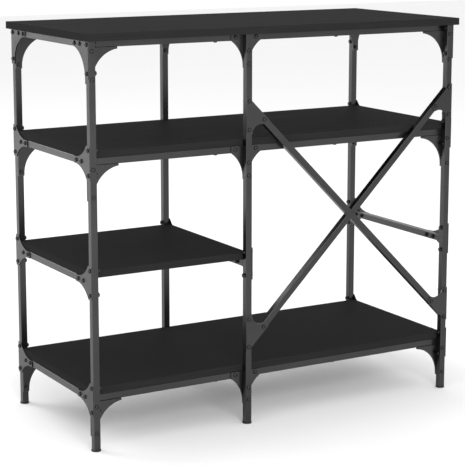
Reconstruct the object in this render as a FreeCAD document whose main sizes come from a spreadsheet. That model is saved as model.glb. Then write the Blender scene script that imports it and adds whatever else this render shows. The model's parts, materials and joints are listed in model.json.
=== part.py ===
"""Open storage rack: a bolted steel tube frame with four dark boards, a cross brace and levelling feet.

Units are millimetres. +Z is up, X runs along the width, and -Y is the front.
The origin is on the floor, under the middle of the rack.
"""
import FreeCAD, Part
import os

from FreeCAD import Placement, Rotation, Vector

os.makedirs("parts", exist_ok=True)
doc = FreeCAD.newDocument("StorageRack")

# ---------------------------------------------------------------- driving sizes

SIZES = {
    # overall
    "width": 900.0,
    "depth": 400.0,
    "height": 840.0,
    "board": 15.0,
    "board_edge": 0.8,
    "overhang": 10.0,
    # shelf levels, measured from board top to board top
    "first_drop": 231.0,
    "shelf_drop": 240.5,
    # square tube
    "tube": 14.0,
    "tube_wall": 1.2,
    "tube_corner": 1.0,
    # frames: the middle frame's distance from the left one
    "left_bay": 353.4,
    # plates
    "plate": 2.0,
    "gusset_radius": 61.5,
    "side_arm_tail": 10.5,
    "side_half": 34.0,
    "side_web": 65.0,
    "side_top_leg": 74.0,
    "side_bolt_clear": 8.0,
    "side_bolt_step": 23.5,
    "side_bolt_rise": 25.0,
    "side_bolt_drop": 63.0,
    "corner_plate": 4.0,
    "corner_arm": 68.5,
    "corner_lip": 3.4,
    "corner_bolt_clear": 6.0,
    "corner_bolt_low": 75.5,
    "corner_tail": 8.5,
    "tee_arm": 34.5,
    "tee_bolt_arm": 24.5,
    "tee_bolt_high": 34.0,
    "tee_bolt_low": 61.3,
    "tee_tail": 8.5,
    # cross brace in the right bay: its bars meet the posts this far above two of the boards
    "brace_over_upper": 67.8,
    "brace_over_bottom": 50.2,
    "brace_bolt_high": 10.7,
    "brace_bolt_low": 48.8,
    "brace_bolt_bar": 29.0,
    "brace_tail": 8.0,
    "brace_end": 8.9,
    "brace_notch": 22.0,
    "brace_notch_in": 20.5,
    "brace_notch_off": 20.65,
    # fasteners
    "bolt_radius": 2.5,
    "bolt_head_radius": 4.4,
    "bolt_head": 2.8,
    "bolt_round": 1.6,
    "bolt_tail": 1.0,
    "socket_radius": 1.75,
    "socket": 1.6,
    "nut_radius": 4.6,
    "nut": 4.0,
    "screw_radius": 2.0,
    "screw_head_radius": 4.0,
    "screw_head": 2.2,
    "screw_bite": 10.0,
    "screw_from_post": 67.4,
    "screw_inset": 60.0,
    "hole_gap": 0.1,
    # feet
    "pad_radius": 10.0,
    "pad": 3.0,
    "pad_round": 0.9,
    "pad_floor": 0.8,
    "stem_radius": 3.0,
    "stem": 24.0,
    "stem_gap": 0.08,
    "insert": 16.0,
}

sheet = doc.addObject("Spreadsheet::Sheet", "Sizes")
for row, (alias, value) in enumerate(SIZES.items(), start=1):
    sheet.set("A%d" % row, alias)
    sheet.set("B%d" % row, str(value))
    sheet.setAlias("B%d" % row, alias)
doc.recompute()

# ---------------------------------------------------------------- shared places

S = "Sizes."
HALF_X = "(Sizes.width / 2 - Sizes.overhang)"
HALF_Y = "(Sizes.depth / 2 - Sizes.overhang)"
TUBE = "Sizes.tube"
PLATE = "Sizes.plate"
HOLE = "(Sizes.bolt_radius + Sizes.hole_gap)"
SCREW_HOLE = "(Sizes.screw_radius + Sizes.hole_gap)"

# Each post's low X face and low Y face.
POST_X = {
    "left": "(-%s)" % HALF_X,
    "mid": "(-%s + Sizes.left_bay)" % HALF_X,
    "right": "(%s - Sizes.tube)" % HALF_X,
}
POST_Y = {
    "front": "(-%s)" % HALF_Y,
    "back": "(%s - Sizes.tube)" % HALF_Y,
}
# The underside of each board, which is the top face of the rails below it.
UNDER = {
    "top": "(Sizes.height - Sizes.board)",
    "upper": "(Sizes.height - Sizes.first_drop - Sizes.board)",
    "middle": "(Sizes.height - Sizes.first_drop - Sizes.shelf_drop - Sizes.board)",
    "bottom": "(Sizes.height - Sizes.first_drop - 2 * Sizes.shelf_drop - Sizes.board)",
}
SIDE_LEVELS = {
    "left": ["top", "upper", "middle", "bottom"],
    "mid": ["middle"],
    "right": ["top", "upper", "middle", "bottom"],
}
LONG_LEVELS = ["top", "upper", "bottom"]
# The direction in which each frame's side plates face.
SIDE_FACE = {"left": -1, "mid": 1, "right": 1}
# The direction that points into the rack from each row of posts.
INWARD = {"front": 1, "back": -1}

nodes = {}


def value(expression):
    """The number that an expression on the sheet has now."""
    return float(sheet.evalExpression(expression))


def place(item, x, y, z, axis=Vector(0, 0, 1), angle=0.0):
    """Turn an object and tie its base point to the sheet."""
    item.Placement = Placement(Vector(), Rotation(axis, angle))
    for letter, expression in zip("xyz", (x, y, z)):
        item.setExpression("Placement.Base." + letter, str(expression))
    return item


def box(name, size, corner):
    """A box with its low corner at the given place."""
    item = doc.addObject("Part::Box", name)
    for side, expression in zip(("Length", "Width", "Height"), size):
        item.setExpression(side, str(expression))
    return place(item, *corner)


TURN = {
    "x": (Vector(0, 1, 0), 90.0),
    "-x": (Vector(0, 1, 0), -90.0),
    "y": (Vector(1, 0, 0), -90.0),
    "-y": (Vector(1, 0, 0), 90.0),
    "z": (Vector(0, 0, 1), 0.0),
}


def rod(name, radius, length, start, direction):
    """A cylinder that leaves its start point in one of the main directions."""
    item = doc.addObject("Part::Cylinder", name)
    item.setExpression("Radius", str(radius))
    item.setExpression("Height", str(length))
    axis, angle = TURN[direction]
    return place(item, *start, axis, angle)


def group(name, items):
    item = doc.addObject("Part::Compound", name)
    item.Links = items
    return item


def cut(name, base, tools):
    """The base with every tool taken away."""
    item = doc.addObject("Part::Cut", name)
    item.Base = base
    item.Tool = tools[0] if len(tools) == 1 else group(name + "_tools", tools)
    return item


def rounded(name, base, alias, chosen=None):
    """A fillet on the chosen edges of the base, or on all of them."""
    doc.recompute()
    radius = value(S + alias)
    item = doc.addObject("Part::Fillet", name)
    item.Base = base
    numbered = enumerate(base.Shape.Edges, start=1)
    item.Edges = [(i, radius, radius) for i, edge in numbered if chosen is None or chosen(edge)]
    return item


def along(axis):
    """A test for straight edges that run along one axis."""
    def chosen(edge):
        if len(edge.Vertexes) != 2:
            return False
        run = edge.Vertexes[1].Point - edge.Vertexes[0].Point
        return abs(abs(run.normalize().dot(axis)) - 1) < 1e-6
    return chosen


def keep(name, item):
    """Register a finished sub-part under the name of its file."""
    item.Label = name
    nodes[name] = item
    return item


# ---------------------------------------------------------------- tubes and boards

AXES = {"x": Vector(1, 0, 0), "y": Vector(0, 1, 0), "z": Vector(0, 0, 1)}


def tube(name, direction, length, corner, holes):
    """A square tube with rounded outer corners, open ends and drilled holes."""
    spare = "(Sizes.tube - 2 * Sizes.tube_wall)"
    wall = "Sizes.tube_wall"
    outer_size = [length if axis == direction else TUBE for axis in "xyz"]
    inner_size = [length if axis == direction else spare for axis in "xyz"]
    inner_corner = [c if axis == direction else "%s + %s" % (c, wall) for axis, c in zip("xyz", corner)]
    outer = box(name + "_outer", outer_size, corner)
    soft = rounded(name + "_soft", outer, "tube_corner", along(AXES[direction]))
    inner = box(name + "_inner", inner_size, inner_corner)
    hollow = cut(name + "_tube", soft, [inner])
    if not holes:
        return hollow
    drills = [rod("%s_drill%d" % (name, i), *hole) for i, hole in enumerate(holes)]
    return cut(name + "_drilled", hollow, drills)


def drill(radius, x, y, z, direction):
    """A hole through one tube that starts at the given point on its face."""
    return (radius, TUBE, (x, y, z), direction)


def board(name, size, corner, holes):
    blank = box(name + "_blank", size, corner)
    soft = rounded(name + "_soft", blank, "board_edge")
    drills = [rod("%s_pilot%d" % (name, i), *hole) for i, hole in enumerate(holes)]
    return keep(name, cut(name, soft, drills))


# ---------------------------------------------------------------- bolt places


# The side plates' rail bolts, measured inwards from the posts' outer face, are clear of the long rails.
SIDE_BOLT_NEAR = "(2 * Sizes.tube + Sizes.plate + Sizes.side_bolt_clear)"
SIDE_BOLT_FAR = "(%s + Sizes.side_bolt_step)" % SIDE_BOLT_NEAR
SIDE_ARM = "(%s + Sizes.side_arm_tail)" % SIDE_BOLT_FAR


def side_bolt_heights(level):
    """Heights of the two bolts that hold a side plate to a post."""
    centre = "(%s - Sizes.tube / 2)" % UNDER[level]
    if level == "top":
        return [centre, "(%s - Sizes.side_bolt_drop)" % UNDER[level]]
    return ["(%s + Sizes.side_bolt_rise)" % centre, "(%s - Sizes.side_bolt_rise)" % centre]


def side_bolt_spots(row, level):
    """(y, z, piece) for the four bolts of one side plate."""
    rail_z = "(%s - Sizes.tube / 2)" % UNDER[level]
    post_y = "(%s + Sizes.tube / 2)" % POST_Y[row]
    face_y = "(-%s)" % HALF_Y if row == "front" else HALF_Y
    sign = "+" if row == "front" else "-"
    spots = [(post_y, z, "post") for z in side_bolt_heights(level)]
    for reach in (SIDE_BOLT_NEAR, SIDE_BOLT_FAR):
        spots.append(("(%s %s %s)" % (face_y, sign, reach), rail_z, "rail"))
    return spots


def corner_bolt_heights(level):
    drops = ("(Sizes.tube + Sizes.corner_bolt_clear)", "Sizes.corner_bolt_low")
    return ["(%s - %s)" % (UNDER[level], drop) for drop in drops]


def tee_bolt_heights(level):
    return ["(%s - Sizes.%s)" % (UNDER[level], drop) for drop in ("tee_bolt_high", "tee_bolt_low")]


def post_centre(frame):
    return "(%s + Sizes.tube / 2)" % POST_X[frame]


BRACE_LEFT = "(%s + Sizes.tube)" % POST_X["mid"]
BRACE_RIGHT = POST_X["right"]
BRACE_SPAN = "((%s - %s) / 2)" % (BRACE_RIGHT, BRACE_LEFT)
BRACE_X = "((%s + %s) / 2)" % (BRACE_RIGHT, BRACE_LEFT)
BRACE_HIGH = "(%s + Sizes.board + Sizes.brace_over_upper)" % UNDER["upper"]
BRACE_LOW = "(%s + Sizes.board + Sizes.brace_over_bottom)" % UNDER["bottom"]
BRACE_Z = "((%s + %s) / 2)" % (BRACE_HIGH, BRACE_LOW)
BRACE_RISE = "((%s - %s) / 2)" % (BRACE_HIGH, BRACE_LOW)
# Half the length of a bar's centre line, and the bar's angle with the floor.
BRACE_RUN = "sqrt(%s ^ 2 + %s ^ 2)" % (BRACE_SPAN, BRACE_RISE)
BRACE_COS = "(%s / %s)" % (BRACE_SPAN, BRACE_RUN)
BRACE_SIN = "(%s / %s)" % (BRACE_RISE, BRACE_RUN)
BRACE_SLOPE = "(%s / %s)" % (BRACE_RISE, BRACE_SPAN)
BRACE_ANGLE = "atan(%s)" % BRACE_SLOPE
# The frames that carry the brace, and the height signs of their two plates.
BRACE_FRAMES = {"mid": 1, "right": -1}
BRACE_ENDS = {"high": 1, "low": -1}


def brace_up(end, rise):
    """A height, given as a rise from where the bar's centre line meets the post, away from the crossing."""
    if BRACE_ENDS[end] > 0:
        return "(%s + %s)" % (BRACE_HIGH, rise)
    return "(%s - %s)" % (BRACE_LOW, rise)


def brace_across(frame, reach):
    """An X place, given as a reach from the post's inner face into the bay."""
    if BRACE_FRAMES[frame] > 0:
        return "(%s + %s)" % (BRACE_LEFT, reach)
    return "(%s - %s)" % (BRACE_RIGHT, reach)


def brace_post_bolts(frame, end):
    rises = ("Sizes.brace_bolt_high", "(-Sizes.brace_bolt_low)")
    return [(post_centre(frame), brace_up(end, rise)) for rise in rises]


def along_bar(reach):
    """The rise of a bar's centre line at a reach into the bay."""
    return "(-%s * %s)" % (reach, BRACE_SLOPE)


def bar_bolt(frame, end):
    """The place of the bolt that holds a bar to its plate."""
    return brace_across(frame, "Sizes.brace_bolt_bar"), brace_up(end, along_bar("Sizes.brace_bolt_bar"))


# ---------------------------------------------------------------- posts

def post_holes(frame, row):
    """Every bolt hole of one post."""
    low_x = POST_X[frame]
    low_y = POST_Y[row]
    centre = post_centre(frame)
    holes = []
    for level in SIDE_LEVELS[frame]:
        for y, z, piece in side_bolt_spots(row, level):
            if piece == "post":
                holes.append(drill(HOLE, low_x, y, z, "x"))
    for level in LONG_LEVELS:
        heights = tee_bolt_heights(level) if frame == "mid" else corner_bolt_heights(level)
        for z in heights:
            holes.append(drill(HOLE, centre, low_y, z, "y"))
    if row == "front" and frame in BRACE_FRAMES:
        for end in BRACE_ENDS:
            for x, z in brace_post_bolts(frame, end):
                holes.append(drill(HOLE, x, low_y, z, "y"))
    return holes


for frame in POST_X:
    for row in POST_Y:
        name = "post_%s_%s" % (frame, row)
        corner = (POST_X[frame], POST_Y[row], "Sizes.pad")
        length = "(%s - Sizes.pad)" % UNDER["top"]
        keep(name, tube(name, "z", length, corner, post_holes(frame, row)))

# ---------------------------------------------------------------- side rails

RAIL_Y = "(%s - Sizes.tube)" % HALF_Y
SCREW_ROWS = {"front": "(-%s + Sizes.screw_inset)" % RAIL_Y, "back": "(%s - Sizes.screw_inset)" % RAIL_Y}
MIDDLE_SHELF_FRAMES = ["left", "mid"]


def side_rail_holes(frame, level):
    holes = []
    for row in POST_Y:
        for y, z, piece in side_bolt_spots(row, level):
            if piece == "rail":
                holes.append(drill(HOLE, POST_X[frame], y, z, "x"))
    if level == "middle" and frame in MIDDLE_SHELF_FRAMES:
        for y in SCREW_ROWS.values():
            holes.append(drill(SCREW_HOLE, post_centre(frame), y, "(%s - Sizes.tube)" % UNDER[level], "z"))
    return holes


for frame, levels in SIDE_LEVELS.items():
    for level in levels:
        name = "side_rail_%s_%s" % (frame, level)
        corner = (POST_X[frame], "(-%s)" % RAIL_Y, "(%s - Sizes.tube)" % UNDER[level])
        keep(name, tube(name, "y", "(2 * %s)" % RAIL_Y, corner, side_rail_holes(frame, level)))

# ---------------------------------------------------------------- long rails

# A plate's thickness separates the long rails from the posts in front of them.
LONG_Y = {
    "front": "(-%s + Sizes.plate)" % RAIL_Y,
    "back": "(%s - Sizes.plate - Sizes.tube)" % RAIL_Y,
}
# The screws under each long rail are beside the middle post, and at the same distance from the rack's middle.
SCREW_LEFT = "(%s - Sizes.screw_from_post)" % post_centre("mid")
SCREW_X = [SCREW_LEFT, "(-%s)" % SCREW_LEFT]
TEE_X = ["(%s - Sizes.tee_bolt_arm)" % post_centre("mid"), "(%s + Sizes.tee_bolt_arm)" % post_centre("mid")]
BOARD_Y = "(%s - Sizes.plate)" % RAIL_Y


def long_rail_holes(row, level):
    low_z = "(%s - Sizes.tube)" % UNDER[level]
    centre_y = "(%s + Sizes.tube / 2)" % LONG_Y[row]
    holes = [drill(HOLE, x, LONG_Y[row], "(%s + Sizes.tube / 2)" % low_z, "y") for x in TEE_X]
    return holes + [drill(SCREW_HOLE, x, centre_y, low_z, "z") for x in SCREW_X]


for row in LONG_Y:
    for level in LONG_LEVELS:
        name = "long_rail_%s_%s" % (row, level)
        length = "(2 * %s - 2 * Sizes.tube)" % HALF_X
        corner = ("(-%s + Sizes.tube)" % HALF_X, LONG_Y[row], "(%s - Sizes.tube)" % UNDER[level])
        keep(name, tube(name, "x", length, corner, long_rail_holes(row, level)))

# ---------------------------------------------------------------- boards


def pilot(x, y, level):
    return (SCREW_HOLE, "(Sizes.screw_bite + Sizes.hole_gap)", (x, y, UNDER[level]), "z")


def rail_pilots(level):
    """Pilot holes above the screws in the two long rails of one level."""
    return [pilot(x, "(%s + Sizes.tube / 2)" % y, level) for y in LONG_Y.values() for x in SCREW_X]


board("top_board", ("Sizes.width", "Sizes.depth", "Sizes.board"),
      ("(-Sizes.width / 2)", "(-Sizes.depth / 2)", UNDER["top"]), rail_pilots("top"))
for name, level in (("upper_shelf", "upper"), ("bottom_shelf", "bottom")):
    board(name, ("(2 * %s)" % HALF_X, "(2 * %s)" % BOARD_Y, "Sizes.board"),
          ("(-%s)" % HALF_X, "(-%s)" % BOARD_Y, UNDER[level]), rail_pilots(level))
board("middle_shelf", ("(Sizes.left_bay + Sizes.tube)", "(2 * %s)" % BOARD_Y, "Sizes.board"),
      ("(-%s)" % HALF_X, "(-%s)" % BOARD_Y, UNDER["middle"]),
      [pilot(post_centre(f), y, "middle") for f in MIDDLE_SHELF_FRAMES for y in SCREW_ROWS.values()])

# ---------------------------------------------------------------- side plates


def plate_low_x(frame):
    """The low X face of a frame's side plates."""
    if SIDE_FACE[frame] < 0:
        return "(%s - Sizes.plate)" % POST_X[frame]
    return "(%s + Sizes.tube)" % POST_X[frame]


def side_plate(frame, row, level):
    """A K-shaped plate, or half of one under the top board, with arcs between post and rail."""
    name = "side_plate_%s_%s_%s" % (frame, row, level)
    x = plate_low_x(frame)
    rail_top = UNDER[level]
    rail_low = "(%s - Sizes.tube)" % UNDER[level]
    face = "(-%s)" % HALF_Y if row == "front" else HALF_Y
    sign = "+" if row == "front" else "-"

    def low_y(near, far):
        """The low Y of a stretch from near to far, both measured inwards from the outer face."""
        return "(%s + %s)" % (face, near) if row == "front" else "(%s - %s)" % (face, far)

    above = "0" if level == "top" else "(Sizes.side_half - Sizes.tube / 2)"
    below = "(Sizes.side_top_leg - Sizes.tube)" if level == "top" else above
    web_height = "(%s + Sizes.tube + %s)" % (above, below)
    web = box(name + "_web", (PLATE, "Sizes.side_web", web_height),
              (x, low_y("0", "Sizes.side_web"), "(%s - %s)" % (rail_low, below)))
    arm = box(name + "_arm", (PLATE, SIDE_ARM, TUBE), (x, low_y("0", SIDE_ARM), rail_low))
    blank = doc.addObject("Part::Fuse", name + "_blank")
    blank.Base = web
    blank.Tool = arm
    blank.Refine = True
    post_edge = "(%s %s Sizes.tube)" % (face, sign)
    if level == "top":
        arc_y = "(%s %s Sizes.gusset_radius)" % (post_edge, sign)
        arcs = [(arc_y, "(%s - Sizes.side_top_leg)" % UNDER[level])]
    else:
        arc_y = "(%s %s Sizes.side_web)" % (face, sign)
        arc_heights = ("(%s + Sizes.gusset_radius)" % rail_top, "(%s - Sizes.gusset_radius)" % rail_low)
        arcs = [(arc_y, arc_z) for arc_z in arc_heights]
    tools = [rod("%s_arc%d" % (name, i), "Sizes.gusset_radius", PLATE, (x, y, z), "x")
             for i, (y, z) in enumerate(arcs)]
    shaped = blank
    for i, tool in enumerate(tools):
        shaped = cut("%s_shaped%d" % (name, i), shaped, [tool])
    drills = [rod("%s_hole%d" % (name, i), HOLE, PLATE, (x, y, z), "x")
              for i, (y, z, piece) in enumerate(side_bolt_spots(row, level))]
    return cut(name + "_drilled", shaped, drills)


for frame, levels in SIDE_LEVELS.items():
    for row in POST_Y:
        name = "side_plates_%s_%s" % (frame, row)
        keep(name, group(name, [side_plate(frame, row, level) for level in levels]))

# ---------------------------------------------------------------- corner plates


def corner_plate(frame, row, level):
    """A quarter-arc plate under a long rail, with a leg behind the corner post."""
    name = "corner_plate_%s_%s_%s" % (frame, row, level)
    low = "(%s - Sizes.tube)" % UNDER[level]
    leg_end = "(%s - Sizes.corner_bolt_low - Sizes.corner_tail)" % UNDER[level]
    y = "(-%s)" % RAIL_Y if row == "front" else "(%s - Sizes.corner_plate)" % RAIL_Y
    left = frame == "left"
    face = "(-%s)" % HALF_X if left else HALF_X
    sign = "+" if left else "-"
    low_x = face if left else "(%s - Sizes.corner_arm)" % face
    blank = box(name + "_blank", ("Sizes.corner_arm", "Sizes.corner_plate", "(%s - %s)" % (low, leg_end)),
                (low_x, y, leg_end))
    arc_x = "(%s %s Sizes.tube %s Sizes.gusset_radius)" % (face, sign, sign)
    arc_z = "(%s - Sizes.corner_lip - Sizes.gusset_radius)" % low
    arc = rod(name + "_arc", "Sizes.gusset_radius", "Sizes.corner_plate", (arc_x, y, arc_z), "y")
    shaped = cut(name + "_shaped", blank, [arc])
    web_low_x = "(%s + Sizes.tube)" % face if left else "(%s - Sizes.corner_arm)" % face
    below_size = ("(Sizes.corner_arm - Sizes.tube)", "Sizes.corner_plate", "(%s - %s)" % (arc_z, leg_end))
    below = box(name + "_below", below_size, (web_low_x, y, leg_end))
    trimmed = cut(name + "_trimmed", shaped, [below])
    drills = [rod("%s_hole%d" % (name, i), HOLE, "Sizes.corner_plate", (post_centre(frame), y, z), "y")
              for i, z in enumerate(corner_bolt_heights(level))]
    return cut(name + "_drilled", trimmed, drills)


for frame in ("left", "right"):
    for row in POST_Y:
        name = "corner_plates_%s_%s" % (frame, row)
        keep(name, group(name, [corner_plate(frame, row, level) for level in LONG_LEVELS]))

# ---------------------------------------------------------------- tee plates


def tee_plate(row, level):
    """A T-shaped plate between a middle post and the long rail behind it."""
    name = "tee_plate_%s_%s" % (row, level)
    low = "(%s - Sizes.tube)" % UNDER[level]
    leg_end = "(%s - Sizes.tee_bolt_low - Sizes.tee_tail)" % UNDER[level]
    y = "(-%s)" % RAIL_Y if row == "front" else BOARD_Y
    centre = post_centre("mid")
    blank = box(name + "_blank", ("(2 * Sizes.tee_arm)", PLATE, "(%s - %s)" % (UNDER[level], leg_end)),
                ("(%s - Sizes.tee_arm)" % centre, y, leg_end))
    reach = "(Sizes.tee_arm - Sizes.tube / 2)"
    arc_drop = "sqrt(Sizes.gusset_radius ^ 2 - (Sizes.gusset_radius - %s) ^ 2)" % reach
    arc_z = "(%s - %s)" % (low, arc_drop)
    shaped = blank
    for i, sign in enumerate("-+"):
        arc_x = "(%s %s (Sizes.tube / 2 + Sizes.gusset_radius))" % (centre, sign)
        arc = rod("%s_arc%d" % (name, i), "Sizes.gusset_radius", PLATE, (arc_x, y, arc_z), "y")
        shaped = cut("%s_shaped%d" % (name, i), shaped, [arc])
        side_x = "(%s - Sizes.tee_arm)" % centre if sign == "-" else "(%s + Sizes.tube / 2)" % centre
        side_size = (reach, PLATE, "(%s - %s)" % (arc_z, leg_end))
        side = box("%s_side%d" % (name, i), side_size, (side_x, y, leg_end))
        shaped = cut("%s_trimmed%d" % (name, i), shaped, [side])
    spots = [(centre, z) for z in tee_bolt_heights(level)]
    spots += [(x, "(%s - Sizes.tube / 2)" % UNDER[level]) for x in TEE_X]
    drills = [rod("%s_hole%d" % (name, i), HOLE, PLATE, (x, y, z), "y") for i, (x, z) in enumerate(spots)]
    return cut(name + "_drilled", shaped, drills)


for row in POST_Y:
    name = "tee_plates_%s" % row
    keep(name, group(name, [tee_plate(row, level) for level in LONG_LEVELS]))

# ---------------------------------------------------------------- cross brace

BRACE_LONG = "(2 * %s + 4 * Sizes.tube)" % BRACE_RUN


def turned(item, way, angle, x, y, z):
    """Turn an object about the Y axis by an angle from the sheet, and tie its base point to the sheet."""
    start = 45.0
    item.Placement = Placement(Vector(), Rotation(Vector(0, way, 0), start))
    item.setExpression("Placement.Rotation.Angle", angle)
    for letter, expression in zip("xyz", (x, y, z)):
        item.setExpression("Placement.Base." + letter, expression)
    return item


def tilted_box(name, length, wide, tall, lean):
    """A bar centred on the brace's crossing that leans to the right (1) or to the left (-1)."""
    item = doc.addObject("Part::Box", name)
    item.setExpression("Length", length)
    item.setExpression("Width", wide)
    item.setExpression("Height", tall)
    # The box's own middle is brought to the crossing.
    back_x = "(%s * %s - %d * %s * %s) / 2" % (length, BRACE_COS, lean, tall, BRACE_SIN)
    back_z = "(%d * %s * %s + %s * %s) / 2" % (lean, length, BRACE_SIN, tall, BRACE_COS)
    x = "%s - %s" % (BRACE_X, back_x)
    y = "%s + (Sizes.tube - %s) / 2" % (POST_Y["front"], wide)
    z = "%s - %s" % (BRACE_Z, back_z)
    if lean > 0:
        return turned(item, -1, BRACE_ANGLE, x, y, z)
    return turned(item, 1, BRACE_ANGLE, x, y, z)


def bay_box(name, low_x, high_x, low_z, high_z):
    return box(name, ("(%s - %s)" % (high_x, low_x), TUBE, "(%s - %s)" % (high_z, low_z)),
               (low_x, POST_Y["front"], low_z))


def bar_tube(name, lean):
    """A hollow bar that leans across the bay, before its ends are trimmed."""
    spare = "(Sizes.tube - 2 * Sizes.tube_wall)"
    outer = tilted_box(name + "_outer", BRACE_LONG, TUBE, TUBE, lean)
    run = Vector(value(BRACE_SPAN), 0, lean * value(BRACE_RISE)).normalize()
    soft = rounded(name + "_soft", outer, "tube_corner", along(run))
    inner = tilted_box(name + "_inner", BRACE_LONG, spare, spare, lean)
    return cut(name + "_tube", soft, [inner])


def common(name, base, tool):
    item = doc.addObject("Part::Common", name)
    item.Base = base
    item.Tool = tool
    return item


BRACE_TOP = "(%s + 2 * Sizes.tube)" % BRACE_HIGH
BRACE_BASE = "(%s - 2 * Sizes.tube)" % BRACE_LOW


def brace_drills(name, frames_ends):
    """The bar bolt's hole at each of the given ends."""
    drills = []
    for frame, end in frames_ends:
        x, z = bar_bolt(frame, end)
        drills.append(rod("%s_%s_%s" % (name, frame, end), HOLE, TUBE, (x, POST_Y["front"], z), "y"))
    return drills


whole_bay = bay_box("brace_bay", BRACE_LEFT, BRACE_RIGHT, BRACE_BASE, BRACE_TOP)
falling = common("brace_falling_bar", bar_tube("brace_falling", -1), whole_bay)
falling_holes = brace_drills("falling_hole", [("mid", "high"), ("right", "low")])
keep("brace_bar_long", cut("brace_bar_long", falling, falling_holes))

# The rising bar is two halves that butt against the long one.
rising = bar_tube("brace_rising", 1)
clear = tilted_box("brace_clear", BRACE_LONG, TUBE, TUBE, -1)
for name, frame, end in (("brace_bar_upper", "right", "high"), ("brace_bar_lower", "mid", "low")):
    if end == "high":
        bay = bay_box(name + "_bay", BRACE_X, BRACE_RIGHT, BRACE_Z, BRACE_TOP)
    else:
        bay = bay_box(name + "_bay", BRACE_LEFT, BRACE_X, BRACE_BASE, BRACE_Z)
    half = cut(name + "_half", common(name + "_bar", rising, bay), [clear])
    keep(name, cut(name, half, brace_drills(name + "_hole", [(frame, end)])))


def half_space(name, point, way, angle, normal, y):
    """A large box whose face passes through a point. Its normal leans by the angle from +Z towards X."""
    large = "(4 * Sizes.left_bay)"
    item = doc.addObject("Part::Box", name)
    item.setExpression("Length", large)
    item.setExpression("Width", PLATE)
    item.setExpression("Height", large)
    x = "%s - %s / 2 * %s" % (point[0], large, normal[1])
    z = "%s + %s / 2 * %s" % (point[1], large, normal[0])
    return turned(item, way, angle, x, y, z)


def brace_plate(frame, end):
    """A plate on the front of a post and a bar, with a round notch between the two."""
    name = "brace_plate_%s_%s" % (frame, end)
    y = "(%s - Sizes.plate)" % POST_Y["front"]
    out_x = BRACE_FRAMES[frame]
    out_z = BRACE_ENDS[end]
    reach = "(Sizes.brace_bolt_bar + Sizes.tube)"
    far = "(Sizes.brace_bolt_high + Sizes.brace_tail)"
    near = "(-Sizes.brace_bolt_low - Sizes.brace_tail)"
    low_x = brace_across(frame, "(-Sizes.tube)" if out_x > 0 else reach)
    low_z = brace_up(end, near if out_z > 0 else far)
    blank_size = ("(Sizes.tube + %s)" % reach, PLATE, "(%s - %s)" % (far, near))
    blank = box(name + "_blank", blank_size, (low_x, y, low_z))
    # The plate ends at the bar's outer edge, and square across the bar past its bolt.
    outer_edge = (brace_across(frame, "0"), brace_up(end, "(Sizes.tube / 2 / %s)" % BRACE_COS))
    out_normal = ("(%d * %s)" % (out_x, BRACE_SIN), "(%d * %s)" % (out_z, BRACE_COS))
    out_angle = BRACE_ANGLE if out_z > 0 else "(180 deg - %s)" % BRACE_ANGLE
    outside = half_space(name + "_outside", outer_edge, out_x, out_angle, out_normal, y)
    end_reach = "(Sizes.brace_bolt_bar + Sizes.brace_end * %s)" % BRACE_COS
    bar_end = (brace_across(frame, end_reach), brace_up(end, along_bar(end_reach)))
    end_normal = ("(%d * %s)" % (out_x, BRACE_COS), "(%d * %s)" % (-out_z, BRACE_SIN))
    end_angle = "(90 deg + %s)" % BRACE_ANGLE if out_z > 0 else "(90 deg - %s)" % BRACE_ANGLE
    beyond = half_space(name + "_beyond", bar_end, out_x, end_angle, end_normal, y)
    notch_rise = "(%s - (Sizes.tube / 2 + Sizes.brace_notch_off) / %s)" % (
        along_bar("Sizes.brace_notch_in"), BRACE_COS)
    notch_spot = (brace_across(frame, "Sizes.brace_notch_in"), y, brace_up(end, notch_rise))
    round_tool = rod(name + "_round", "Sizes.brace_notch", PLATE, notch_spot, "y")
    bay_low_x = brace_across(frame, "0" if out_x > 0 else "Sizes.left_bay")
    bay_low_z = brace_up(end, "(-Sizes.left_bay)" if out_z > 0 else "Sizes.left_bay")
    bay = box(name + "_bay", ("Sizes.left_bay", PLATE, "(2 * Sizes.left_bay)"), (bay_low_x, y, bay_low_z))
    notch = common(name + "_notch", round_tool, bay)
    shaped = blank
    for i, tool in enumerate((outside, beyond, notch)):
        shaped = cut("%s_shaped%d" % (name, i), shaped, [tool])
    spots = brace_post_bolts(frame, end) + [bar_bolt(frame, end)]
    drills = [rod("%s_hole%d" % (name, i), HOLE, PLATE, (x, y, z), "y") for i, (x, z) in enumerate(spots)]
    return cut(name + "_drilled", shaped, drills)


keep("brace_plates", group("brace_plates", [brace_plate(f, e) for f in BRACE_FRAMES for e in BRACE_ENDS]))

# ---------------------------------------------------------------- fasteners


def hexagon(name, corner_radius, height, low_z):
    """An upright hexagonal prism."""
    prism = doc.addObject("Part::Prism", name)
    prism.Polygon = 6
    prism.setExpression("Circumradius", corner_radius)
    prism.setExpression("Height", height)
    return place(prism, "0", "0", low_z)


def fastener(name, radius, length, head_radius, head, round_alias):
    """A round-headed bolt or screw with a hexagon socket. Its shank points up from the origin."""
    head_low = "(-%s)" % head
    top = rod(name + "_head", head_radius, head, ("0", "0", head_low), "z")
    doc.recompute()
    head_z = value(head_low)
    soft = rounded(name + "_soft", top, round_alias, lambda edge: abs(edge.CenterOfMass.z - head_z) < 1e-6)
    shank = rod(name + "_shank", radius, length, ("0", "0", "0"), "z")
    solid = doc.addObject("Part::Fuse", name + "_solid")
    solid.Base = soft
    solid.Tool = shank
    return cut(name, solid, [hexagon(name + "_socket", "Sizes.socket_radius", "Sizes.socket", head_low)])


def bolt(name, stack):
    """A bolt that passes through a stack of the given thickness and its nut."""
    length = "(%s + Sizes.nut + Sizes.bolt_tail)" % stack
    head_radius = "Sizes.bolt_head_radius"
    return fastener(name, "Sizes.bolt_radius", length, head_radius, "Sizes.bolt_head", "bolt_round")


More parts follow.
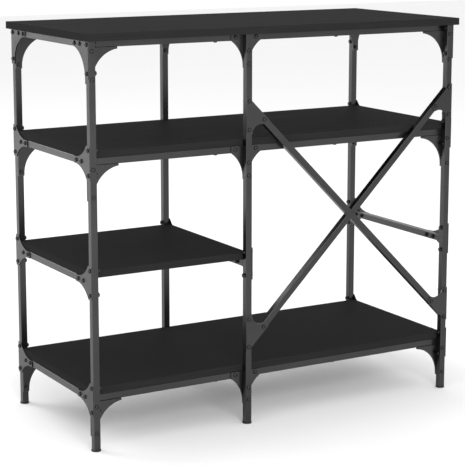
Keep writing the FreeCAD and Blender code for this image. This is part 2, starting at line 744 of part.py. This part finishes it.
def hex_nut(name):
    prism = hexagon(name + "_blank", "Sizes.nut_radius", "Sizes.nut", "0")
    bore = rod(name + "_bore", HOLE, "Sizes.nut", ("0", "0", "0"), "z")
    return cut(name, prism, [bore])


def copy_at(name, source, x, y, z, direction):
    """A linked copy with its Z axis turned to the given direction."""
    item = doc.addObject("App::Link", name)
    item.LinkedObject = source
    item.LinkTransform = False
    axis, angle = TURN[direction]
    return place(item, x, y, z, axis, angle)


thin_stack = "(Sizes.plate + Sizes.tube)"
thick_stack = "(Sizes.corner_plate + Sizes.tube)"
thin_bolt = bolt("thin_bolt", thin_stack)
thick_bolt = bolt("thick_bolt", thick_stack)
nut_master = hex_nut("nut_master")
screw_length = "(Sizes.tube + Sizes.screw_bite)"
screw_master = fastener("screw_master", "Sizes.screw_radius", screw_length,
                        "Sizes.screw_head_radius", "Sizes.screw_head", "bolt_round")
nuts = []


def through_bolt(name, thick, x, y, z, direction):
    """A bolt with its head at the given point, and the nut at the far side of the stack."""
    item = copy_at(name, thick_bolt if thick else thin_bolt, x, y, z, direction)
    stack = thick_stack if thick else thin_stack
    sign = "-" if direction.startswith("-") else "+"
    far = zip("xyz", (x, y, z))
    spot = ["(%s %s %s)" % (c, sign, stack) if axis == direction[-1] else c for axis, c in far]
    nuts.append(copy_at(name + "_nut", nut_master, *spot, direction))
    return item


def side_bolts():
    items = []
    for frame, levels in SIDE_LEVELS.items():
        outside = SIDE_FACE[frame]
        outer = "- Sizes.plate" if outside < 0 else "+ Sizes.tube + Sizes.plate"
        x = "(%s %s)" % (POST_X[frame], outer)
        for row in POST_Y:
            for level in levels:
                for i, (y, z, piece) in enumerate(side_bolt_spots(row, level)):
                    name = "side_bolt_%s_%s_%s_%d" % (frame, row, level, i)
                    items.append(through_bolt(name, False, x, y, z, "x" if outside < 0 else "-x"))
    return items


def rail_bolts():
    items = []
    for row, inward in INWARD.items():
        direction = "y" if inward > 0 else "-y"
        post_face = "(-%s)" % HALF_Y if inward > 0 else HALF_Y
        tee_face = "(-%s)" % RAIL_Y if inward > 0 else RAIL_Y
        for level in LONG_LEVELS:
            for frame in ("left", "right"):
                for i, z in enumerate(corner_bolt_heights(level)):
                    name = "corner_bolt_%s_%s_%s_%d" % (frame, row, level, i)
                    items.append(through_bolt(name, True, post_centre(frame), post_face, z, direction))
            for i, z in enumerate(tee_bolt_heights(level)):
                name = "tee_bolt_%s_%s_%d" % (row, level, i)
                items.append(through_bolt(name, False, post_centre("mid"), post_face, z, direction))
            for i, x in enumerate(TEE_X):
                name = "tee_arm_bolt_%s_%s_%d" % (row, level, i)
                z = "(%s - Sizes.tube / 2)" % UNDER[level]
                items.append(through_bolt(name, False, x, tee_face, z, direction))
    return items


def brace_bolts():
    items = []
    face = "(-%s - Sizes.plate)" % HALF_Y
    for frame in BRACE_FRAMES:
        for end in BRACE_ENDS:
            for i, (x, z) in enumerate(brace_post_bolts(frame, end) + [bar_bolt(frame, end)]):
                items.append(through_bolt("brace_bolt_%s_%s_%d" % (frame, end, i), False, x, face, z, "y"))
    return items


def shelf_screws():
    """Screws that come up through the rails into the boards."""
    spots = []
    for level in LONG_LEVELS:
        for y in LONG_Y.values():
            spots += [(x, "(%s + Sizes.tube / 2)" % y, level) for x in SCREW_X]
    for frame in MIDDLE_SHELF_FRAMES:
        spots += [(post_centre(frame), y, "middle") for y in SCREW_ROWS.values()]
    return [copy_at("shelf_screw_%d" % i, screw_master, x, y, "(%s - Sizes.tube)" % UNDER[level], "z")
            for i, (x, y, level) in enumerate(spots)]


keep("side_bolts", group("side_bolts", side_bolts()))
keep("rail_bolts", group("rail_bolts", rail_bolts()))
keep("brace_bolts", group("brace_bolts", brace_bolts()))
keep("bolt_nuts", group("bolt_nuts", nuts))
keep("shelf_screws", group("shelf_screws", shelf_screws()))

# ---------------------------------------------------------------- levelling feet

STEM_HOLE = "(Sizes.stem_radius + Sizes.stem_gap)"


def foot_insert(frame, row):
    """A square plug with a threaded hole, pressed into the end of a post."""
    name = "foot_insert_%s_%s" % (frame, row)
    spare = "(Sizes.tube - 2 * Sizes.tube_wall)"
    corner = ("(%s + Sizes.tube_wall)" % POST_X[frame], "(%s + Sizes.tube_wall)" % POST_Y[row], "Sizes.pad")
    blank = box(name + "_blank", (spare, spare, "Sizes.insert"), corner)
    bore = rod(name + "_bore", STEM_HOLE, "Sizes.insert", foot_centre(frame, row, "Sizes.pad"), "z")
    return cut(name, blank, [bore])


def foot_centre(frame, row, z):
    return (post_centre(frame), "(%s + Sizes.tube / 2)" % POST_Y[row], z)


def foot_pad(frame, row):
    """A round pad with a blind socket for its stem."""
    name = "foot_pad_%s_%s" % (frame, row)
    disc = rod(name + "_disc", "Sizes.pad_radius", "Sizes.pad", foot_centre(frame, row, "0"), "z")
    soft = rounded(name + "_soft", disc, "pad_round", lambda edge: len(edge.Vertexes) == 1)
    socket = rod(name + "_socket", STEM_HOLE, "(Sizes.pad - Sizes.pad_floor)",
                 foot_centre(frame, row, "Sizes.pad_floor"), "z")
    return keep(name, cut(name, soft, [socket]))


def foot_stem(frame, row):
    """The threaded stem, drawn as a plain cylinder at the thread's outer size."""
    name = "foot_stem_%s_%s" % (frame, row)
    foot = "(Sizes.pad_floor + Sizes.stem_gap)"
    return keep(name, rod(name, "Sizes.stem_radius", "Sizes.stem", foot_centre(frame, row, foot), "z"))


keep("foot_inserts", group("foot_inserts", [foot_insert(f, r) for f in POST_X for r in POST_Y]))
for frame in POST_X:
    for row in POST_Y:
        foot_pad(frame, row)
        foot_stem(frame, row)

# ---------------------------------------------------------------- checks and files

doc.recompute()
for item in doc.Objects:
    if "Invalid" in item.State or "Error" in item.State:
        raise RuntimeError("%s did not build: %s" % (item.Name, item.State))
for name, item in nodes.items():
    if item.Shape.isNull() or not item.Shape.isValid() or not item.Shape.Solids:
        raise RuntimeError("%s has no valid solid" % name)
    item.Shape.exportStep("parts/%s.step" % name)
print("%d sub-parts, %d solids" % (len(nodes), sum(len(i.Shape.Solids) for i in nodes.values())))
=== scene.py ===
"""Looks for the open storage rack: a material for every part, threaded foot stems, floor, light and camera.

Every place is in metres, in the part's own frame: +Z is up, -Y is the front and the floor is at Z = 0.
"""
import json
import math

import bmesh
import bpy
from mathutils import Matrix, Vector


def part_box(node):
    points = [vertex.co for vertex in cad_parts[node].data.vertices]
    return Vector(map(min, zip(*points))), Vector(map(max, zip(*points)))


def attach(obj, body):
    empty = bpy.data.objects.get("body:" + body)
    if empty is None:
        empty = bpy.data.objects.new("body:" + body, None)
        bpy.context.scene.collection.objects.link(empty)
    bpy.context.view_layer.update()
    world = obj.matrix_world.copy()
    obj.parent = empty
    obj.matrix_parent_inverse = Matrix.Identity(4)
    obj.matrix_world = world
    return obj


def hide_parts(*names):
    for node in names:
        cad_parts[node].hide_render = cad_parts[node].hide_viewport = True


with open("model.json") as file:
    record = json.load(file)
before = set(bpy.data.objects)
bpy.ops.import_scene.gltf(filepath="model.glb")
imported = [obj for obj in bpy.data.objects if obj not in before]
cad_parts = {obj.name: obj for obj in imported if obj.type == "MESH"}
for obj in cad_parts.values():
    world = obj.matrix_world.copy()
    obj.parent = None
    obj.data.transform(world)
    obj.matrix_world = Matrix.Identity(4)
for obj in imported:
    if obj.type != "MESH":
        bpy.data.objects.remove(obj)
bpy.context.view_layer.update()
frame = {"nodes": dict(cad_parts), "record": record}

# ---------------------------------------------------------------- material nodes

NOISE_LOW = 0.3
NOISE_HIGH = 0.7
BEVEL_SAMPLES = 6
EDGE_COSINE = 0.93


class Surface:
    """A material with one main shader, and short calls for the nodes that feed it."""

    def __init__(self, name, metallic, roughness, specular):
        self.material = bpy.data.materials.new(name)
        self.material.use_nodes = True
        self.tree = self.material.node_tree
        self.shader = self.tree.nodes["Principled BSDF"]
        self.shader.inputs["Metallic"].default_value = metallic
        self.shader.inputs["Roughness"].default_value = roughness
        self.shader.inputs["Specular IOR Level"].default_value = specular
        self.place = self.node("ShaderNodeTexCoord").outputs["Object"]

    def node(self, kind, **settings):
        item = self.tree.nodes.new(kind)
        for name, value in settings.items():
            setattr(item, name, value)
        return item

    def join(self, source, target):
        self.tree.links.new(source, target)

    def stretched(self, stretch):
        """Object coordinates, multiplied along each axis."""
        item = self.node("ShaderNodeMapping")
        item.inputs["Scale"].default_value = stretch
        self.join(self.place, item.inputs["Vector"])
        return item.outputs["Vector"]

    def noise(self, scale, detail=2.0, stretch=(1, 1, 1)):
        item = self.node("ShaderNodeTexNoise")
        item.inputs["Scale"].default_value = scale
        item.inputs["Detail"].default_value = detail
        self.join(self.stretched(stretch), item.inputs["Vector"])
        return item.outputs["Fac"]

    def span(self, source, low_in, high_in, low_out, high_out):
        """The source's range, mapped to another range."""
        item = self.node("ShaderNodeMapRange")
        limits = {"From Min": low_in, "From Max": high_in, "To Min": low_out, "To Max": high_out}
        for name, value in limits.items():
            item.inputs[name].default_value = value
        self.join(source, item.inputs["Value"])
        return item.outputs["Result"]

    def faded(self, noise, low, high):
        """The middle of a noise's range, where most of its values are, mapped to another range."""
        return self.span(noise, NOISE_LOW, NOISE_HIGH, low, high)

    def product(self, first, second):
        item = self.node("ShaderNodeMath", operation="MULTIPLY")
        self.join(first, item.inputs[0])
        self.join(second, item.inputs[1])
        return item.outputs["Value"]

    def edges(self, radius):
        """1 on the sharp edges and 0 on the flats."""
        bevel = self.node("ShaderNodeBevel", samples=BEVEL_SAMPLES)
        bevel.inputs["Radius"].default_value = radius
        dot = self.node("ShaderNodeVectorMath", operation="DOT_PRODUCT")
        self.join(bevel.outputs["Normal"], dot.inputs[0])
        self.join(self.node("ShaderNodeNewGeometry").outputs["Normal"], dot.inputs[1])
        return self.span(dot.outputs["Value"], 1.0, EDGE_COSINE, 0.0, 1.0)

    def mixed(self, factor, first, second):
        """A colour between two, each a plain colour or another node's output."""
        item = self.node("ShaderNodeMix", data_type="RGBA")
        self.join(factor, item.inputs["Factor"])
        for socket, colour in ((item.inputs[6], first), (item.inputs[7], second)):
            if isinstance(colour, tuple):
                socket.default_value = (*colour, 1.0)
            else:
                self.join(colour, socket)
        return item.outputs[2]

    def colour(self, source):
        self.join(source, self.shader.inputs["Base Color"])

    def roughness(self, source, low, high):
        self.join(self.faded(source, low, high), self.shader.inputs["Roughness"])

    def relief(self, heights, strength, depth):
        """Bumps: depth is how far, in metres, a height of 1 stands out."""
        previous = None
        for source in heights:
            item = self.node("ShaderNodeBump")
            item.inputs["Strength"].default_value = strength
            item.inputs["Distance"].default_value = depth
            self.join(source, item.inputs["Height"])
            if previous:
                self.join(previous, item.inputs["Normal"])
            previous = item.outputs["Normal"]
        self.join(previous, self.shader.inputs["Normal"])


def grey(level):
    return (level, level, level)


# ---------------------------------------------------------------- the rack's materials


def powder_coat():
    """Dark, semi-gloss coat on steel: a fine orange peel, cloudy gloss and edges rubbed a little lighter."""
    s = Surface("powder_coat", metallic=1.0, roughness=0.3, specular=0.5)
    clouds = s.noise(9.0, detail=3.0)
    peel = s.noise(1400.0, detail=1.0)
    rubbed = s.product(s.edges(0.0007), s.span(s.noise(70.0, detail=4.0), 0.35, 0.65, 0.15, 1.0))
    coat = s.mixed(s.faded(clouds, 0.0, 1.0), grey(0.052), grey(0.061))
    s.colour(s.mixed(rubbed, coat, grey(0.13)))
    s.roughness(clouds, 0.26, 0.36)
    s.relief([peel], strength=0.25, depth=0.00004)
    return s.material


def black_board():
    """Matte black foil on board, with a faint pressed grain along the length and a painted highlight on the
    edges.
    """
    s = Surface("black_board", metallic=0.0, roughness=0.65, specular=0.005)
    grain = s.noise(1.0, detail=6.0, stretch=(9.0, 260.0, 260.0))
    pores = s.noise(1.0, detail=2.0, stretch=(60.0, 1500.0, 1500.0))
    clouds = s.noise(5.0, detail=2.0)
    foil = s.mixed(s.faded(grain, 0.0, 1.0), grey(0.0155), grey(0.0200))
    cloudy = s.mixed(s.faded(clouds, 0.0, 0.4), foil, grey(0.0155))
    # Painted highlight: the sharp edges are mixed up to half way towards a lighter grey (0.029).
    s.colour(s.mixed(s.span(s.edges(0.0008), 0.0, 1.0, 0.0, 0.5), cloudy, grey(0.029)))
    s.roughness(grain, 0.55, 0.7)
    s.relief([grain, pores], strength=0.3, depth=0.00006)
    return s.material


def black_oxide():
    """Blackened bolts, nuts and screws: turned metal, with a painted highlight on the rims."""
    s = Surface("black_oxide", metallic=1.0, roughness=0.36, specular=0.5)
    clouds = s.noise(350.0, detail=3.0)
    shade = s.mixed(s.faded(clouds, 0.0, 1.0), grey(0.038), grey(0.052))
    # Painted highlight: the sharp rims are mixed up to half way towards a lighter grey (0.09).
    s.colour(s.mixed(s.span(s.edges(0.0003), 0.0, 1.0, 0.0, 0.5), shade, grey(0.09)))
    s.roughness(clouds, 0.3, 0.45)
    s.relief([s.noise(2500.0, detail=1.0)], strength=0.2, depth=0.00002)
    return s.material


def moulded(name, low, high, roughness):
    """Fine-grained moulded plastic."""
    s = Surface(name, metallic=0.0, roughness=roughness, specular=0.4)
    clouds = s.noise(120.0, detail=2.0)
    s.colour(s.mixed(s.faded(clouds, 0.0, 1.0), grey(low), grey(high)))
    s.roughness(clouds, roughness - 0.06, roughness + 0.08)
    s.relief([s.noise(3200.0, detail=2.0)], strength=0.35, depth=0.00004)
    return s.material


def zinc():
    """Bright zinc plate with fine turning marks round the stem."""
    s = Surface("zinc_plate", metallic=1.0, roughness=0.3, specular=0.5)
    rings = s.noise(1.0, detail=2.0, stretch=(40.0, 40.0, 9000.0))
    cool, warm = (0.52, 0.54, 0.57), (0.63, 0.62, 0.58)
    s.colour(s.mixed(s.faded(s.noise(300.0), 0.0, 1.0), cool, warm))
    s.roughness(rings, 0.22, 0.38)
    s.relief([rings], strength=0.2, depth=0.00003)
    return s.material


MATERIALS = {
    "frame_steel": powder_coat(),
    "board": black_board(),
    "black_fastener": black_oxide(),
    "foot_plastic": moulded("foot_plastic", 0.009, 0.015, 0.5),
    "insert_plastic": moulded("insert_plastic", 0.016, 0.024, 0.45),
    "zinc_steel": zinc(),
}
for entry in frame["record"]["subparts"]:
    mesh = frame["nodes"][entry["node"]].data
    mesh.materials.clear()
    mesh.materials.append(MATERIALS[entry["material_slot"]])

# ---------------------------------------------------------------- threaded foot stems

PITCH = 0.001
THREAD_DEPTH = 0.0006
ROWS_PER_PITCH = 8
COLUMNS = 24
CHAMFER = 0.0007


def threaded_stem(node):
    """A rod with a real screw thread, in the place of a plain stem."""
    low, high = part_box(node)
    centre = (low + high) / 2
    radius = (high.x - low.x) / 2
    length = high.z - low.z
    rows = round(length / PITCH * ROWS_PER_PITCH) + 1
    shape = bmesh.new()
    rings = []
    for row in range(rows):
        z = length * row / (rows - 1)
        end = min(z, length - z)
        limit = radius - max(0.0, CHAMFER - end)
        ring = []
        for column in range(COLUMNS):
            turn = column / COLUMNS
            crest = abs(2 * ((z / PITCH - turn) % 1.0) - 1)
            reach = min(radius - THREAD_DEPTH * (1 - crest), limit)
            angle = 2 * math.pi * turn
            spot = (centre.x + reach * math.cos(angle), centre.y + reach * math.sin(angle), low.z + z)
            ring.append(shape.verts.new(spot))
        rings.append(ring)
    for lower, upper in zip(rings, rings[1:]):
        for i in range(COLUMNS):
            j = (i + 1) % COLUMNS
            shape.faces.new((lower[i], lower[j], upper[j], upper[i]))
    shape.faces.new(list(reversed(rings[0])))
    shape.faces.new(rings[-1])
    mesh = bpy.data.meshes.new("thread_" + node)
    shape.to_mesh(mesh)
    shape.free()
    mesh.materials.append(MATERIALS["zinc_steel"])
    piece = bpy.data.objects.new("threaded_" + node, mesh)
    bpy.context.scene.collection.objects.link(piece)
    return piece


for body, members in frame["record"]["behaviour"]["bodies"].items():
    for node in members:
        if node.startswith("foot_stem"):
            stem = threaded_stem(node)
            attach(stem, body)
            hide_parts(node)

# ---------------------------------------------------------------- floor, light and camera

FLOOR_HALF = 12.0
FLOOR_SHADE = 0.9
FLOOR_CLOUD = 0.02
SKY_STRENGTH = 1.0
LAMP_AIM = (0, 0, 0.4)
LAMP_SIZE = 2.5


def pale_floor():
    """A wide, plain, pale floor."""
    shape = bmesh.new()
    bmesh.ops.create_grid(shape, x_segments=1, y_segments=1, size=FLOOR_HALF)
    mesh = bpy.data.meshes.new("floor")
    shape.to_mesh(mesh)
    shape.free()
    s = Surface("pale_floor", metallic=0.0, roughness=0.9, specular=0.1)
    s.colour(s.mixed(s.noise(2.0), grey(FLOOR_SHADE), grey(FLOOR_SHADE + FLOOR_CLOUD)))
    mesh.materials.append(s.material)
    piece = bpy.data.objects.new("floor", mesh)
    bpy.context.scene.collection.objects.link(piece)


def sky(strength):
    """Even white light from every side."""
    world = bpy.data.worlds.new("studio")
    world.use_nodes = True
    background = world.node_tree.nodes["Background"]
    background.inputs["Color"].default_value = (1, 1, 1, 1)
    background.inputs["Strength"].default_value = strength
    bpy.context.scene.world = world


def softbox(name, place, aim, size, power):
    """A large, square, soft lamp."""
    data = bpy.data.lights.new(name, "AREA")
    data.size = size
    data.energy = power
    lamp = bpy.data.objects.new(name, data)
    lamp.location = place
    lamp.rotation_euler = (Vector(aim) - Vector(place)).to_track_quat("-Z", "Y").to_euler()
    bpy.context.scene.collection.objects.link(lamp)


def camera(place, azimuth, elevation, lens, shift):
    data = bpy.data.cameras.new("camera")
    data.lens = lens
    data.shift_x, data.shift_y = shift
    item = bpy.data.objects.new("camera", data)
    item.location = place
    item.rotation_euler = (math.radians(90 - elevation), 0, math.radians(azimuth))
    bpy.context.scene.collection.objects.link(item)
    bpy.context.scene.camera = item


bpy.context.scene.view_settings.view_transform = "Standard"
pale_floor()
sky(SKY_STRENGTH)
softbox("front", place=(-1.2, -4.2, 1.9), aim=LAMP_AIM, size=LAMP_SIZE, power=150)
softbox("back", place=(-2.4, 3.6, 1.9), aim=LAMP_AIM, size=LAMP_SIZE, power=100)
camera(place=(-1.7467, -2.9746, 1.079), azimuth=-30.15, elevation=9.92, lens=123.5, shift=(0.0088, -0.1))
